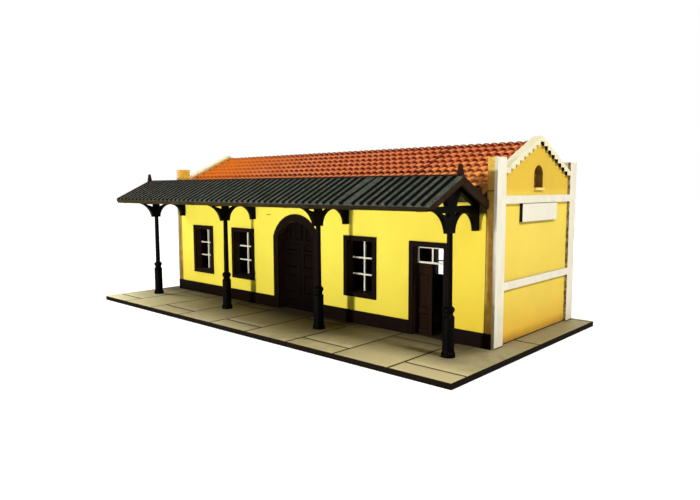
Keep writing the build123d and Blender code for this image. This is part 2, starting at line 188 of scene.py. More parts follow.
class Nodes:
    """A node tree built up node by node; an input is a number, a colour or another node's output."""

    def __init__(self, tree):
        self.tree = tree
        self.tree.nodes.clear()

    def node(self, kind, inputs=None, **settings):
        """New node of a kind, with its settings made and its inputs fed."""
        made = self.tree.nodes.new(kind)
        for key, value in settings.items():
            setattr(made, key, value)
        for key, value in (inputs or {}).items():
            self.feed(made.inputs[key], value)
        return made

    def feed(self, socket, value):
        """Link another node's output to a socket, or give the socket a plain value."""
        if isinstance(value, bpy.types.NodeSocket):
            self.tree.links.new(value, socket)
        elif isinstance(value, (tuple, list)) and len(value) == 3 and socket.type == "RGBA":
            socket.default_value = (*value, 1)
        else:
            socket.default_value = value

    def maths(self, operation, a, b=0.0, clamp=False):
        """One of the sums that a math node can do."""
        return self.node("ShaderNodeMath", {0: a, 1: b}, operation=operation, use_clamp=clamp).outputs[0]

    def both(self, a, b):
        """One share times the other: one only where both are."""
        return self.maths("MULTIPLY", a, b)

    def either(self, a, b):
        """The larger of two shares: one where either is."""
        return self.maths("MAXIMUM", a, b)

    def seen(self):
        """One for a ray that the camera sees straight, in a shiny face or through a clear one."""
        light = self.node("ShaderNodeLightPath").outputs
        indirect = self.either(light["Is Glossy Ray"], light["Is Transmission Ray"])
        return self.either(light["Is Camera Ray"], indirect)


class Paint(Nodes):
    """A material; every place, width and depth that it is given is in millimetres."""

    def __init__(self, name):
        self.material = bpy.data.materials.new(name)
        self.material.use_nodes = True
        super().__init__(self.material.node_tree)
        self.where = self.node("ShaderNodeTexCoord").outputs

    def places(self):
        """How far a point lies along x, y and z from the middle of the house."""
        inputs = {0: self.where["Object"], "Scale": 1 / MM}
        place = self.node("ShaderNodeVectorMath", inputs, operation="SCALE").outputs[0]
        return self.node("ShaderNodeSeparateXYZ", {0: place}).outputs

    def looks(self):
        """How much a face looks along x, y and z, from minus one to one."""
        return self.node("ShaderNodeSeparateXYZ", {0: self.where["Normal"]}).outputs

    def flat(self, look):
        """One on the two faces that look along an axis, nought on the cut edges between them."""
        return self.span(self.maths("ABSOLUTE", look), 0.5, 0.6)

    def outer(self, look, place):
        """One on the face that looks away from the middle of the house, nought on the one that looks in."""
        return self.span(self.both(look, place), -1, 1)

    def noise(self, per_mm, detail, rough, stretch=None):
        """Cloudy noise with about so many blotches to a millimetre, drawn out where stretch is under one."""
        place = self.where["Object"]
        if stretch:
            place = self.node("ShaderNodeMapping", {"Vector": place, "Scale": stretch}).outputs[0]
        inputs = {"Vector": place, "Scale": per_mm / MM, "Detail": detail, "Roughness": rough}
        return self.node("ShaderNodeTexNoise", inputs).outputs["Fac"]

    def span(self, value, lo, hi, out_lo=0.0, out_hi=1.0):
        """Carry a value's stretch from lo to hi over to another stretch, and hold it beyond both ends."""
        inputs = {0: value, 1: lo, 2: hi, 3: out_lo, 4: out_hi}
        return self.node("ShaderNodeMapRange", inputs, clamp=True).outputs[0]

    def near(self, value, middle, half, soft):
        """One within half of the middle, falling to nought over the soft edge."""
        distance = self.maths("ABSOLUTE", self.maths("SUBTRACT", value, middle))
        return self.span(distance, half, half + soft, 1, 0)

    def mix(self, share, a, b):
        """Colour a, with its share of colour b over it."""
        made = self.node("ShaderNodeMix", {"Factor": share}, data_type="RGBA")
        self.feed(made.inputs[6], a)
        self.feed(made.inputs[7], b)
        return made.outputs[2]

    def mark(self, name):
        """One of the values that a mesh carries for each of its points."""
        return self.node("ShaderNodeAttribute", attribute_name=name).outputs["Fac"]

    def tint(self, body, colour, *layers):
        """Body with tints of a colour laid over it in turn, each given by its share and its factors."""
        for share, *factors in layers:
            body = self.mix(share, body, shaded(colour, *factors))
        return body

    def relief(self, height, depth):
        """Grain of a surface, this deep where the height is one."""
        return self.node("ShaderNodeBump", {"Height": height, "Distance": depth * MM}).outputs[0]

    def finish(self, colour, roughness, relief, gloss):
        """Close the material with its surface."""
        inputs = {"Base Color": colour, "Roughness": roughness, "Normal": relief, "Specular IOR Level": gloss}
        surface = self.node("ShaderNodeBsdfPrincipled", inputs)
        self.node("ShaderNodeOutputMaterial", {0: surface.outputs[0]})
        return self.material


# near black of burnt edges and lines, also used for the painted shadow in the tiles' corner
BURN_AND_SHADOW = (0.014, 0.008, 0.004)
OCHRE = (0.8, 0.44, 0.05)


def shaded(colour, *factors):
    """Colour times one factor, or times one for each channel, each channel held to one."""
    factors = factors * 3 if len(factors) == 1 else factors
    return tuple(min(1.0, channel * factor) for channel, factor in zip(colour, factors))


def coat(paint, colour, mottle):
    """Brushed paint: broad clouds and fine specks of a deeper tone."""
    deep = shaded(colour, 1 - 2 * mottle)
    face = paint.mix(paint.span(paint.noise(0.05, 4, 0.6), 0.35, 0.7, 0, 0.8), colour, deep)
    return paint.mix(paint.span(paint.noise(1.6, 3, 0.6), 0.55, 0.8, 0, mottle * 2), face, deep)


def cut_edge(paint, cut):
    """Edge left dark by the cutting, in two cloudy tones."""
    return paint.mix(paint.noise(0.8, 4, 0.7), cut, shaded(cut, 0.55))


def wall_paint(name, colour, cut, inside):
    """Yellow paint of the long walls, warmer to the right and near the foot; the inside is bare board.

    At both ends shows the end of the gable's board, past a thin joint, with the end column's shadow painted
    into that brown. The front has a dark scuff by the main door's head, and a painted shadow under the eave
    at its right end."""
    paint = Paint(name)
    x, y, z = paint.places()
    look = paint.looks()[1]
    face = coat(paint, colour, 0.04)
    warm = paint.maths("ADD", paint.span(x, 45, 93, 0, 0.75), paint.span(z, 26, 6, 0, 0.3), clamp=True)
    warm = paint.both(warm, paint.span(paint.noise(0.06, 3, 0.5), 0.3, 0.6, 0.7, 1))
    face = paint.mix(warm, face, shaded(colour, 0.93, 0.76, 0.42))
    scuff = paint.both(paint.near(x, -19.4, 1.4, 0.4), paint.near(z, 43.9, 0.1, 0.2))
    scuff = paint.both(scuff, paint.span(y, -1, 1, 0.7, 0))
    face = paint.mix(scuff, face, (0.12, 0.07, 0.02))
    outward = paint.maths("ABSOLUTE", x)
    cloud = paint.span(paint.noise(0.35, 4, 0.7), 0.35, 0.65)
    # the ends' brown: the gable board's end, with the end column's shadow painted into it
    board = paint.mix(cloud, (0.47, 0.24, 0.022), (0.64, 0.36, 0.055))
    face = paint.mix(paint.span(outward, 91.3, 91.6), face, board)
    face = paint.mix(paint.near(outward, 91.3, 0.1, 0.12), face, (0.1, 0.05, 0.01))
    # painted shadow under the eave at the front's right end, near black
    eave = paint.both(paint.span(x, 87, 88.5), paint.span(z, 46.2, 47.5, 0, 0.95))
    eave = paint.both(eave, paint.span(x, 91.1, 91.4, 1, 0.2))
    eave = paint.both(eave, paint.span(y, -1, 1, 1, 0))
    face = paint.mix(eave, face, (0.02, 0.009, 0.003))
    face = paint.mix(paint.outer(look, y), inside, face)
    relief = paint.relief(paint.noise(2.4, 5, 0.65), 0.015)
    return paint.finish(paint.mix(paint.flat(look), cut_edge(paint, cut), face), 0.65, relief, 0.2)


def gable_paint(name, colour, inside):
    """Warmer yellow of the gables, paler half way up, with painted shade over the upper band and along the
    foot.

    The cut edges, and the inner side where it stands over the roof, are gritty ochre with a burnt line near
    the roof; a painted shadow of the canopy darkens them below the ears' tops. The left gable's inner side is
    worn pale between its ears. The far ears' edges are cream and the attic openings' edges brown."""
    paint = Paint(name)
    x, y, z = paint.places()
    look = paint.looks()[0]
    middle = paint.both(paint.span(z, 6, 34), paint.span(z, 50, 66, 1, 0.35))
    face = paint.mix(middle, coat(paint, shaded(colour, 0.94, 0.86, 0.68), 0.05), coat(paint, colour, 0.04))
    # painted shade over the upper band
    face = paint.mix(paint.span(z, 52, 56), face, coat(paint, shaded(colour, 0.84, 0.73, 0.5), 0.05))
    face = paint.mix(paint.span(z, 3, 14, 0.7, 0), face, shaded(colour, 1.0, 0.72, 0.45))
    # painted shade along the foot, in blotches, and a dark line where the wall meets the board
    foot = paint.both(paint.span(z, 2.2, 6, 0.9, 0), paint.span(paint.noise(0.15, 4, 0.6), 0.3, 0.7, 0.5, 1))
    face = paint.mix(foot, face, (0.3, 0.13, 0.02))
    face = paint.mix(paint.span(z, 2.3, 2.6, 1, 0), face, (0.02, 0.01, 0.004))
    cloud = paint.span(paint.noise(0.9, 5, 0.75), 0.35, 0.65)
    grit = paint.mix(cloud, shaded(OCHRE, 0.66, 0.66, 0.55), shaded(OCHRE, 1.25, 1.45, 1.7))
    # painted shadow of the canopy: the grit darker below the ears' tops
    grit = paint.mix(paint.span(z, 58.5, 61.5), shaded(OCHRE, 0.62, 0.6, 0.6), grit)
    grit = paint.mix(paint.near(z, 54.7, 0.12, 0.2), grit, BURN_AND_SHADOW)
    over = paint.span(z, 53.5, 53.8)
    between = paint.both(paint.span(x, -1, 1, 1, 0), paint.near(y, 0, 25.5, 0.3))
    worn = paint.span(paint.noise(0.5, 4, 0.7), 0.4, 0.6)
    pale = paint.mix(worn, (0.62, 0.42, 0.1), (0.42, 0.27, 0.06))
    inner = paint.mix(over, inside, paint.mix(between, grit, pale))
    face = paint.mix(paint.outer(look, x), inner, face)
    far_ear = paint.both(paint.span(y, 25.5, 25.8), over)
    edge = paint.mix(far_ear, grit, (0.78, 0.72, 0.55))
    reveal = paint.both(paint.near(y, 0, 3.7, 0.1), paint.span(z, 54, 54.2))
    brown = paint.mix(paint.noise(0.8, 4, 0.7), (0.2, 0.085, 0.012), (0.32, 0.16, 0.035))
    edge = paint.mix(reveal, edge, brown)
    relief = paint.relief(paint.noise(2.4, 5, 0.65), 0.02)
    return paint.finish(paint.mix(paint.flat(look), edge, face), 0.65, relief, 0.2)


def transom_paint(name, colour, cut):
    """White card of the transom: the paint on its two faces, the cut's colour on its edges."""
    paint = Paint(name)
    relief = paint.relief(paint.noise(2.4, 5, 0.65), 0.015)
    shade = paint.mix(paint.flat(paint.looks()[1]), cut_edge(paint, cut), coat(paint, colour, 0.02))
    return paint.finish(shade, 0.62, relief, 0.2)


def plain_paint(name, colour, roughness, mottle, grain, stretch=None, gloss=0.05):
    """Brushed paint with a faint grain that can be drawn out along an axis."""
    paint = Paint(name)
    cloud = paint.span(paint.noise(0.35, 5, 0.62, stretch), 0.3, 0.7)
    shade = paint.mix(cloud, shaded(colour, 1 - mottle), shaded(colour, 1 + mottle))
    relief = paint.relief(paint.noise(2.0, 4, 0.6, stretch), grain)
    return paint.finish(shade, roughness, relief, gloss)


def sign_paint(name, colour):
    """White card of the blank sign: black on its cut edges, and a shadow line along its top."""
    paint = Paint(name)
    line = paint.near(paint.places()[2], 50.4, 0.22, 0.1)
    face = paint.mix(line, coat(paint, colour, 0.02), (0.2, 0.13, 0.07))
    shade = paint.mix(paint.flat(paint.looks()[0]), (0.008, 0.007, 0.005), face)
    return paint.finish(shade, 0.6, paint.relief(paint.noise(2.4, 5, 0.65), 0.01), 0.1)


def shutter_paint(name, colour):
    """Worn brown boards with pale flecks where the stain has gone; the half by the platform is black, a
    painted shadow.
    """
    paint = Paint(name)
    grain = paint.noise(0.6, 5, 0.7, (2, 2, 0.6))
    body = paint.mix(paint.span(grain, 0.35, 0.65), shaded(colour, 0.45), shaded(colour, 1.5))
    fleck = paint.span(paint.noise(0.9, 2, 0.5), 0.6, 0.68, 0, 0.85)
    body = paint.mix(fleck, body, (0.6, 0.45, 0.22))
    # painted shadow: the half by the platform black
    body = paint.mix(paint.span(paint.places()[1], 0.2, 0.8, 1, 0), body, (0.008, 0.004, 0.001))
    return paint.finish(body, 0.65, paint.relief(grain, 0.05), 0.1)


def fascia_paint(name, colour):
    """Stain of the long board under the eave: olive at the left end, deepening to the right."""
    paint = Paint(name)
    grain = paint.span(paint.noise(0.5, 5, 0.65, (0.3, 1, 1)), 0.35, 0.65)
    olive = paint.mix(grain, shaded(colour, 0.7, 1.0, 0.6), shaded(colour, 1.9, 2.7, 1.9))
    deep = paint.mix(grain, shaded(colour, 0.25, 0.3, 0.2), shaded(colour, 0.8, 0.9, 0.6))
    shade = paint.mix(paint.span(paint.places()[0], -60, 60), olive, deep)
    return paint.finish(shade, 0.6, paint.relief(grain, 0.03), 0.05)


def trim_paint(name, colour):
    """White card of the gables: streaked faces with painted shade at the foot, and grey edges that dull near
    the foot.

    Edges that look to the platform are burnt, but for the outermost."""
    paint = Paint(name)
    y, z = paint.places()[1:]
    looks = paint.looks()
    streaks = paint.span(paint.noise(0.3, 5, 0.65, (1, 1, 0.35)), 0.42, 0.75, 0, 0.8)
    face = paint.mix(streaks, colour, shaded(colour, 0.84, 0.84, 0.8))
    # painted shade in a thin line where the card meets the board
    face = paint.mix(paint.span(z, 2.3, 2.5, 1, 0), face, (0.03, 0.02, 0.01))
    cloud = paint.noise(0.5, 4, 0.6)
    grey = paint.mix(cloud, shaded(colour, 0.8, 0.83, 0.88), shaded(colour, 0.98, 1.0, 1.06))
    grey = paint.mix(paint.span(z, 35, 20, 0.15, 0.85), grey, (0.4, 0.33, 0.19))
    soot = paint.span(paint.noise(0.5, 4, 0.7), 0.42, 0.6)
    burn_and_shade = paint.mix(soot, (0.09, 0.062, 0.02), (0.48, 0.37, 0.17))
    burn = paint.both(paint.span(looks[1], -0.6, -0.4, 1, 0), paint.span(y, -32.1, -31.8))
    edge = paint.mix(burn, grey, burn_and_shade)
    relief = paint.relief(paint.noise(2.2, 4, 0.6), 0.02)
    return paint.finish(paint.mix(paint.flat(looks[0]), edge, face), 0.62, relief, 0.2)


def coping_paint(name, colour):
    """Coping: cream, dark underneath, most on the back half, and burnt on the risers that look to the
    platform.
    """
    paint = Paint(name)
    y = paint.places()[1]
    looks = paint.looks()
    worn = paint.span(paint.noise(0.5, 5, 0.65), 0.45, 0.7, 0, 0.6)
    cream = paint.mix(worn, shaded(colour, 1.0, 0.98, 0.84), shaded(colour, 0.8, 0.76, 0.6))
    risers = paint.span(looks[1], -0.75, -0.65, 1, 0)
    under = paint.both(paint.span(looks[2], -0.75, -0.6, 1, 0), paint.span(y, 0, 1, 0.35, 0.9))
    relief = paint.relief(paint.noise(2.2, 4, 0.6), 0.02)
    return paint.finish(paint.mix(paint.either(risers, under), cream, BURN_AND_SHADOW), 0.62, relief, 0.2)


def tile_paint(name, colour, burn_and_shade):
    """Moulded tile sheet: each tile its own tone, painted shade under every lip, a painted highlight along
    the crests.

    A pool of light is painted amber near the front slope's right end, and the ear's shadow is painted near
    black in the corner by the eave; to the left the orange is purer."""
    paint = Paint(name)
    x, y = paint.places()[:2]
    light, deep = (1.42, 3.0, 8.5), (0.68, 0.5, 0.55)
    body = paint.mix(paint.span(paint.mark("tone"), 0, 1, 0.2, 1), shaded(colour, *deep), colour)
    cloud = paint.span(paint.noise(0.09, 4, 0.6), 0.38, 0.62, 0, 0.2)
    # painted light: an amber pool near the front slope's right end
    amber = paint.both(paint.span(x, 55, 83, 0.12, 0.95), paint.span(y, -12, -30, 0.12, 1))
    pure = paint.span(x, -20, -70, 0, 0.85)
    # painted highlight along the crests
    streak = paint.both(paint.mark("crest"), paint.span(paint.noise(0.45, 3, 0.6), 0.35, 0.6, 0.4, 1))
    specks = paint.span(paint.noise(1.2, 4, 0.7), 0.55, 0.8, 0, 0.4)
    body = paint.tint(
        body, colour, (cloud, *light), (amber, 1.42, 2.8, 3.2), (pure, 1.03, 1.25, 0.25), (streak, *light),
        (specks, *deep),
    )
    # painted shade under the lips, weaker in the painted pool of light
    hollow = paint.both(paint.mark("hollow"), paint.span(amber, 0.3, 0.9, 1, 0.45))
    body = paint.mix(hollow, body, burn_and_shade)
    # painted shadow of the ear, near black, in the corner by the eave
    corner = paint.both(paint.span(x, 86.5, 88.5), paint.span(y, -31, -32.5, 0, 0.9))
    relief = paint.relief(paint.noise(2.0, 4, 0.65), 0.04)
    return paint.finish(paint.mix(corner, body, BURN_AND_SHADOW), 0.65, relief, 0.06)


def zinc_paint(name, colour):
    """Dark grey paint on corrugated sheet: black down the valleys, a dull bloom, flecks and specks between.

    It is darker to the left, brown at that end's eave, and darker at the right end behind the ridge. The
    black down the valleys is painted shade."""
    paint = Paint(name)
    x, y = paint.places()[:2]
    bloom = paint.span(paint.noise(0.16, 4, 0.6), 0.4, 0.65)
    fleck = paint.span(paint.noise(0.9, 5, 0.72, (1, 0.45, 0.45)), 0.5, 0.72, 0, 0.85)
    dim = paint.span(x, -92, -20, 0.95, 0)
    brown = paint.both(paint.span(x, -70, -95, 0, 0.8), paint.span(y, -48, -60, 0.3, 1))
    specks = paint.noise(2.2, 3, 0.6)
    bright, dark = paint.span(specks, 0.56, 0.68, 0, 0.7), paint.span(specks, 0.44, 0.34, 0, 0.7)
    darker_end = paint.both(paint.span(x, 84, 86), paint.span(y, -48.9, -48.5))
    body = paint.mix(bloom, shaded(colour, 0.7, 0.88, 0.78), shaded(colour, 1.35, 1.3, 1.2))
    body = paint.tint(body, colour, (fleck, 2.7, 2.4, 2.2), (dim, 0.46, 0.36, 0.2))
    body = paint.mix(brown, body, (0.045, 0.03, 0.014))
    body = paint.tint(body, colour, (bright, 3.4, 3.0, 2.7), (dark, 0.2))
    body = paint.mix(darker_end, body, (0.022, 0.008, 0.004))
    # painted shade: black down the valleys
    body = paint.mix(paint.mark("valley"), body, (0.0015, 0.0017, 0.0013))
    relief = paint.relief(paint.noise(1.8, 4, 0.65), 0.03)
    return paint.finish(body, 0.6, relief, 0.04)


def board_paint(name, colour, cut):
    """Paving board: each slab its own tone, dark scored joints and burnt sides.

    The left end has painted light. Along the platform follow a worn stretch, a stretch of painted shade and
    the corner on the right with painted light; painted shade of the canopy thickens towards the wall, and a
    dim band lies beside the right gable."""
    paint = Paint(name)
    x, y = paint.places()[:2]
    cloud = paint.span(paint.noise(0.07, 5, 0.6), 0.35, 0.65, 0, 0.6)
    blotch = paint.span(paint.noise(0.25, 5, 0.7), 0.45, 0.7, 0, 0.7)
    specks = paint.span(paint.noise(1.3, 4, 0.7), 0.5, 0.8, 0, 0.35)
    # painted light: the left end lighter
    painted_left_light = paint.span(x, -45, -95, 0, 0.95)
    worn = paint.both(paint.near(x, -25, 12, 40), paint.span(y, -38, -50, 0.1, 0.5))
    # painted shade under the canopy's front
    dull = paint.both(paint.near(x, 34, 12, 26), paint.span(y, -62, -46, 0.1, 0.9))
    beside = paint.both(paint.span(x, 94, 96, 0, 0.5), paint.span(y, -36, -24))
    # painted shade of the canopy, deepening towards the wall
    canopy_shadow = paint.both(paint.span(y, -62, -37, 0, 0.86), paint.span(x, 88, 97, 1, 0))
    # painted light on the corner on the right
    pale = paint.both(paint.span(x, 50, 80, 0, 0.7), paint.span(y, -52, -62))
    slabs = paint.mix(paint.mark("tone"), shaded(colour, 0.82, 0.81, 0.76), shaded(colour, 1.16, 1.14, 1.08))
    body = paint.tint(
        slabs, colour, (cloud, 1), (blotch, 0.62, 0.6, 0.5), (specks, 1.2, 1.2, 1.25),
        (painted_left_light, 2.1, 2.25, 2.4), (worn, 1.5, 1.5, 1.6), (dull, 0.55, 0.52, 0.42),
        (beside, 0.6, 0.6, 0.55), (canopy_shadow, 0.12, 0.1, 0.07), (pale, 1.55, 1.5, 1.4),
    )
    body = paint.mix(paint.mark("joint"), body, (0.035, 0.025, 0.007))
    burn = paint.mix(paint.noise(0.4, 4, 0.7), cut, shaded(cut, 0.35))
    upright = paint.span(paint.maths("ABSOLUTE", paint.looks()[2]), 0.5, 0.6, 1, 0)
    shade = paint.mix(paint.either(paint.mark("side"), upright), body, burn)
    relief = paint.relief(paint.noise(1.6, 5, 0.65), 0.05)
    return paint.finish(shade, 0.8, relief, 0.06)


# ---- sizes and colours ---------------------------------------------------------------------------

def size(label, about, millimetres):
    """Length that a user can change, its default given in millimetres."""
    return bpy.props.FloatProperty(
        name=label, description=about, default=millimetres * MM, min=0.0, unit="LENGTH", precision=5
    )


def colour(label, about, value):
    """Colour that a user can change."""
    return bpy.props.FloatVectorProperty(
        name=label, description=about, default=value, size=3, min=0.0, max=1.0, subtype="COLOR"
    )


class StationSizes(bpy.types.PropertyGroup):
    """Sizes of the surfaces laid over the frame."""

    tile_w: size("Tile width", "Width of one tile across the roof", 3.39)
    tile_l: size("Tile length", "Visible length of one tile down the slope, in plan", 4.16)
    tile_relief: size("Tile relief", "Height of a tile's roll over its pan", 0.85)
    roof_t: size("Roof thickness", "Thickness of the roof sheets, square to the slope", 2.3)
    seam_x: size("Roof seam", "Where the two tile sheets meet, from the middle of the house", 56.8)
    wave_w: size("Corrugation width", "Width of one corrugation of the canopy", 3.37)
    wave_h: size("Corrugation height", "Height of one corrugation of the canopy", 0.6)
    sheet_t: size("Canopy sheet thickness", "Thickness of the canopy sheets, square to the slope", 0.7)
    sheet_seam_x: size("Canopy seam", "Where the two canopy sheets meet, from the middle of the house", 58.1)
    slab_w: size("Slab width", "Width of one paving slab along the platform", 23.04)
    slab_l: size("Slab length", "Length of one paving slab from platform to house", 47.3)
    joint_w: size("Joint width", "Width of the scored joints of the paving", 1.1)
    bar_w: size("Bar width", "Width of the window bars", 0.65)


class StationColours(bpy.types.PropertyGroup):
    """Paint colours."""

    front: colour("Front walls", "Paint of the long walls", (0.94, 0.8, 0.08))
    gable: colour("Gables", "Paint of the gable walls", (0.88, 0.66, 0.095))
    trim: colour("Trim", "Paint of the gables' bands, corners and coping", (0.82, 0.77, 0.61))
    brown: colour("Plinth and surrounds", "Paint of plinth, surrounds and doors", (0.0065, 0.0019, 0.0006))
    tile: colour("Roof tiles", "Colour of the roof tiles", (0.66, 0.13, 0.021))
    zinc: colour("Canopy sheets", "Paint of the canopy sheets", (0.053, 0.058, 0.048))
    iron: colour("Ironwork", "Paint of the columns and trusses", (0.0018, 0.0012, 0.001))
    barge: colour("Barge boards", "Paint of the barge boards and fascia", (0.03, 0.015, 0.006))
    paving: colour("Paving", "Colour of the paving slabs", (0.42, 0.36, 0.2))


def sizes():
    """All sizes in millimetres, by name."""
    group = bpy.context.scene.station_sizes
    return {key: getattr(group, key) / MM for key in StationSizes.__annotations__}


def colours(name):
    """One of the paint colours, by name."""
    return tuple(getattr(bpy.context.scene.station_colours, name))


# ---- pieces --------------------------------------------------------------------------------------

def roll_places(x, size_of):
    """How many tile widths each place across the roof lies from a middle roll, by the sheet that it is on."""
    middle = np.where(x > size_of["seam_x"], RIGHT_ROLL, LEFT_ROLL)
    return (x - middle) / size_of["tile_w"]


def scatter(value, stride):
    """A share from nought to one that looks random: what a large multiple of a sine leaves past its floor."""
    return np.mod(np.sin(value) * stride, 1)


def tile_height(x, run, size_of):
    """Height of the tiles in millimetres over their sheet, and the marks for their paint.

    Across a tile the roll is a half ellipse round its middle line and the pan beside it a flat trough. Down
    a tile both lift off their bed and the roll grows wider and higher, evenly with the share of the way down,
    so that it ends at the lip in a round step over the next row. A notch marks the seam of the two sheets.
    The hollow mark, painted shade, is one on the step, fades below it and runs faintly down the pan, weaker
    at the left end, and lies in the seam's notch; the crest mark, a painted highlight, is a bell curve
    over the roll."""
    seam_x = size_of["seam_x"]
    rows = (run - FIRST_LIP) / size_of["tile_l"]
    row = np.floor(rows + 1e-6)
    down = np.clip(rows - row, 0, 1)
    rolls = roll_places(x, size_of)
    column = np.round(rolls)
    across = rolls - column
    half_w, lift, bed = 0.24 + 0.13 * down, 0.22 * down, 0.5
    roll = np.sqrt(np.clip(1 - (across / half_w) ** 2, 0, 1))
    height = lift + size_of["tile_relief"] * (0.3 + 0.7 * down) * roll - bed - groove(x - seam_x, 0.55)
    tone = scatter(column * 12.9898 + row * 78.233 + (x > seam_x) * 3.1, 43758.5453)
    # painted shade: dark on each lip's step and below it, faintly down the pan, and in the seam
    shadow = np.maximum(np.clip(1.1 - down * 6.5, 0, 1), np.clip((down - 0.985) * 300, 0, 1))
    step = shadow * np.clip((0.4 - np.abs(across)) / 0.1, 0.1, 1)
    pan = np.clip(1.25 - np.abs(across - np.where(across > -0.08, 0.42, -0.58)) / 0.13, 0, 1)
    depth = 0.35 + 0.65 * np.clip((x + 75) / 60, 0, 1)
    hollow = depth * np.maximum(step, pan * np.clip(1 - 0.7 * down, 0, 0.7))
    hollow = np.maximum(hollow, np.clip(1.6 - np.abs(x - seam_x - 0.05) / 0.55, 0, 1))
    # painted highlight along the top of each roll
    crest = depth**2 * np.exp(-(((across - 0.05) / 0.15) ** 2)) * np.clip(down * 2.5, 0, 1)
    return height, tone, hollow, crest


def pitched(node, side, ridge_y, thick, grid_x, grid_run, height):
    """Sheet that falls evenly from its ridge through its node's box, this thick when measured upright.

    Its rings stand along the ridge; each goes down the face, height over the slope, and back underneath."""
    lo, hi = box_mm(node)
    deep = hi[1] - lo[1]
    slope = (hi[2] - lo[2] - thick) / deep
    top = np.stack([grid_x, ridge_y + side * grid_run, hi[2] - slope * grid_run + height], -1)
    under_x, under = grid(grid_x[:, 0], [deep, 0.0])
    bottom = np.stack([under_x, ridge_y + side * under, hi[2] - thick - slope * under], -1)
    return np.concatenate([top, bottom], 1)


def roof_slope(node, side):
    """One slope of tiles, with stations close together round every lip, and the marks for its paint."""
    size_of = sizes()
    lo, hi = box_mm(node)
    length = size_of["tile_l"]
    deep = hi[1] - lo[1]
    lips = np.arange(FIRST_LIP, deep, length)
    near_lip = (-1.3, -0.5, -0.1, -0.02, 0.0, 0.45, 0.95)
    run = np.concatenate([[0, deep], *(lips + step for step in near_lip), lips + length / 2])
    run = np.unique(np.round(run[(run >= 0) & (run <= deep)], 4))
    seam = size_of["seam_x"] + np.array([-0.55, -0.25, 0, 0.25, 0.55])
    x = stations(lo[0], hi[0], size_of["tile_w"] / 12, seam)
    grid_x, grid_run = grid(x, run)
    height, tone, hollow, crest = tile_height(grid_x, grid_run, size_of)
    tube = pitched(node, side, 0, size_of["roof_t"] * ROOF_UPRIGHT, grid_x, grid_run, height)
    return tube, {"tone": behind(tone, 2, 0.5), "hollow": behind(hollow, 2), "crest": behind(crest, 2)}


def ridge_edge(node):
    """Scalloped edge along the ridge: rings along it, each a narrow bar whose crown rises over every roll.

    Over a roll the crown is a half ellipse; from there its two upper edges drop a little outwards."""
    size_of = sizes()
    lo, hi = box_mm(node)
    top = box_mm("main_roof_front")[1][2]
    half, shoulder, drop, under = 0.6, 0.48, 0.15, 1.4
    x = stations(lo[0], hi[0], size_of["tile_w"] / 12)
    across = off_whole(roll_places(x, size_of))
    crown = top - 0.05 + 0.45 * np.sqrt(np.clip(1 - (across / 0.36) ** 2, 0, 1))
    tube = np.zeros((len(x), 6, 3))
    tube[..., 0] = x[:, None]
    tube[..., 1] = [half, shoulder, -shoulder, -half, -half, half]
    tube[:, [0, 3], 2] = crown[:, None] - drop
    tube[:, [1, 2], 2] = crown[:, None]
    tube[:, [4, 5], 2] = top - under
    return tube


def wave_sheet(node, side, ridge_y):
    """One corrugated sheet of the canopy, and the mark of its valleys, where shade is painted.

    Across one wave the height rises from the valley's floor by three times the square less twice the cube of
    the way up its flank, and stays flat over the ridge. The strip by the seam of the two sheets is plain but
    for the seam's gap, which leans and widens towards the eave."""
    size_of = sizes()
    lo, hi = box_mm(node)
    seam = size_of["sheet_seam_x"]
    x = stations(lo[0], hi[0], size_of["wave_w"] / 18, seam + 0.3 * np.arange(-5, 6))
    grid_x, down = grid(x, np.linspace(0, 1, 9))
    valley = np.where(grid_x > seam, RIGHT_VALLEY, LEFT_VALLEY)
    apart = np.abs(off_whole((grid_x - valley) / size_of["wave_w"]))
    gap = groove(grid_x - seam + 0.88 * (down - 0.5), 0.55 + 0.75 * down)
    plain = (grid_x > PLAIN_LEFT) & (grid_x < PLAIN_RIGHT)
    apart = np.where(plain, 0.34 * (1 - np.clip(gap * 1.3, 0, 1)), apart)
    rise = np.clip((apart - 0.07) / 0.23, 0, 1)
    hump = rise * rise * (3 - 2 * rise)
    height = size_of["wave_h"] * (hump - 0.8)
    # painted shade in each valley, carried as its mark
    dark = np.clip((0.33 - apart) / 0.09, 0, 1)
    run = down * (hi[1] - lo[1])
    tube = pitched(node, side, ridge_y, size_of["sheet_t"] * CANOPY_UPRIGHT, grid_x, run, height)
    return tube, {"valley": behind(dark, 2)}


